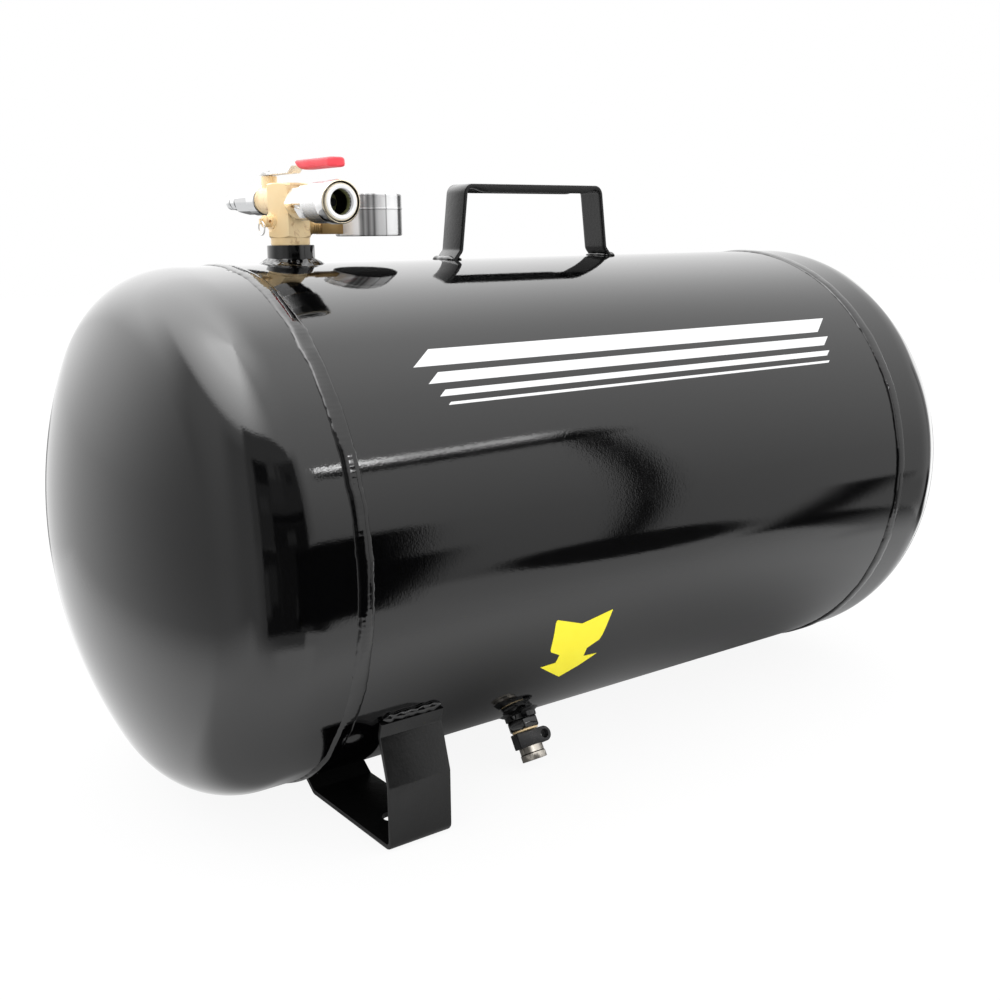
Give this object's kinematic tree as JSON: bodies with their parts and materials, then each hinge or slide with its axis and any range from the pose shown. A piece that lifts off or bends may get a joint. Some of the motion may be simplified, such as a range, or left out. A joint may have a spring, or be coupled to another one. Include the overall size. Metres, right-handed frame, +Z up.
{
  "type": "air receiver tank",
  "caption": "Horizontal steel air receiver with dished heads, strap handle and feet, and a brass riser that carries gauge, lever valve, relief valve and quick coupler.",
  "frame": {"origin": "on the floor, under the middle of the tank's length and width", "axes": "+X along the tank from the riser end to the plain end, -Y to the side of the coupler and the drain, +Z up"},
  "size_m": [0.6172, 0.3024, 0.3658],
  "materials": {
    "tank_paint": "gloss black powder coat",
    "brass": "machined brass",
    "chrome_plate": "bright nickel-chrome plate",
    "plain_steel": "zinc plated steel",
    "white_seal": "white fluoropolymer",
    "red_vinyl": "soft red dipped vinyl",
    "olive_seal": "dark olive elastomer",
    "clear_lens": "clear polished",
    "black_rubber": "matt black elastomer",
    "dial_face": "satin white enamel",
    "black_enamel": "satin black enamel",
    "black_plate": "semi-gloss black coat",
    "warm_nickel": "dull nickel plate"
  },
  "bodies": {
    "tank": {"shell": "tank_paint", "left_head": "tank_paint", "right_head": "tank_paint", "left_girth_weld": "tank_paint", "right_girth_weld": "tank_paint", "carry_handle": "tank_paint", "handle_welds": "tank_paint", "front_foot": "tank_paint", "rear_foot": "tank_paint", "foot_welds": "tank_paint", "outlet_bung": "tank_paint", "outlet_bung_weld": "tank_paint", "riser_body": "brass", "ball_seats": "white_seal", "seat_retainer": "brass", "stem_packing": "white_seal", "packing_gland": "brass", "inlet_plug": "chrome_plate", "coupler_body": "chrome_plate", "sleeve_spring": "plain_steel", "lock_balls": "plain_steel", "coupler_seal": "olive_seal", "poppet_spring": "plain_steel", "gauge_socket": "brass", "gauge_case": "chrome_plate", "gauge_bezel": "chrome_plate", "gauge_lens": "clear_lens", "gauge_gasket": "black_rubber", "gauge_dial": "dial_face", "gauge_movement": "brass", "pressure_tube": "brass", "relief_body": "brass", "relief_spring": "plain_steel", "drain_bung": "tank_paint", "drain_bung_weld": "tank_paint", "drain_bushing": "tank_paint", "drain_body": "brass"},
    "valve_lever": {"valve_ball": "chrome_plate", "valve_stem": "plain_steel", "lever": "plain_steel", "lever_grip": "red_vinyl"},
    "coupler_sleeve": {"coupler_sleeve": "chrome_plate"},
    "coupler_poppet": {"coupler_poppet": "brass"},
    "gauge_pointer": {"gauge_pointer": "black_enamel"},
    "relief_stem": {"relief_stem": "brass"},
    "pull_ring": {"pull_ring": "plain_steel"},
    "drain_tap": {"drain_tab": "black_plate", "drain_spout": "warm_nickel"}
  },
  "joints": [
    {"name": "lever_turn", "type": "hinge", "parent": "tank", "child": "valve_lever", "pos_m": [-0.1685, 0.0235, 0.345], "axis": [0, 0, 1], "range_deg": [-90, 0]},
    {"name": "sleeve_slide", "type": "slide", "parent": "tank", "child": "coupler_sleeve", "axis": [0, 1, 0], "range_m": [0, 0.0034], "stiffness_N_per_m": 300, "springref_m": -0.004},
    {"name": "poppet_slide", "type": "slide", "parent": "tank", "child": "coupler_poppet", "axis": [0, 1, 0], "range_m": [0, 0.004], "stiffness_N_per_m": 200, "springref_m": -0.004},
    {"name": "pointer_turn", "type": "hinge", "parent": "tank", "child": "gauge_pointer", "pos_m": [-0.1162, 0, 0.339], "axis": [0, 0, 1], "range_deg": [-270, 0], "stiffness_Nm_per_rad": 0.0001, "springref_deg": 17.19},
    {"name": "relief_lift", "type": "slide", "parent": "tank", "child": "relief_stem", "axis": [-1, 0, 0], "range_m": [0, 0.0012], "stiffness_N_per_m": 400, "springref_m": -0.003},
    {"name": "ring_swing", "type": "hinge", "parent": "relief_stem", "child": "pull_ring", "pos_m": [-0.18629, 0, 0.3327], "axis": [0, 1, 0], "range_deg": [-8, 100]},
    {"name": "drain_turn", "type": "hinge", "parent": "tank", "child": "drain_tap", "pos_m": [-0.066, -0.08865, 0.01712], "axis": [0, -0.5299, -0.848], "range_deg": [0, 90]}
  ]
}
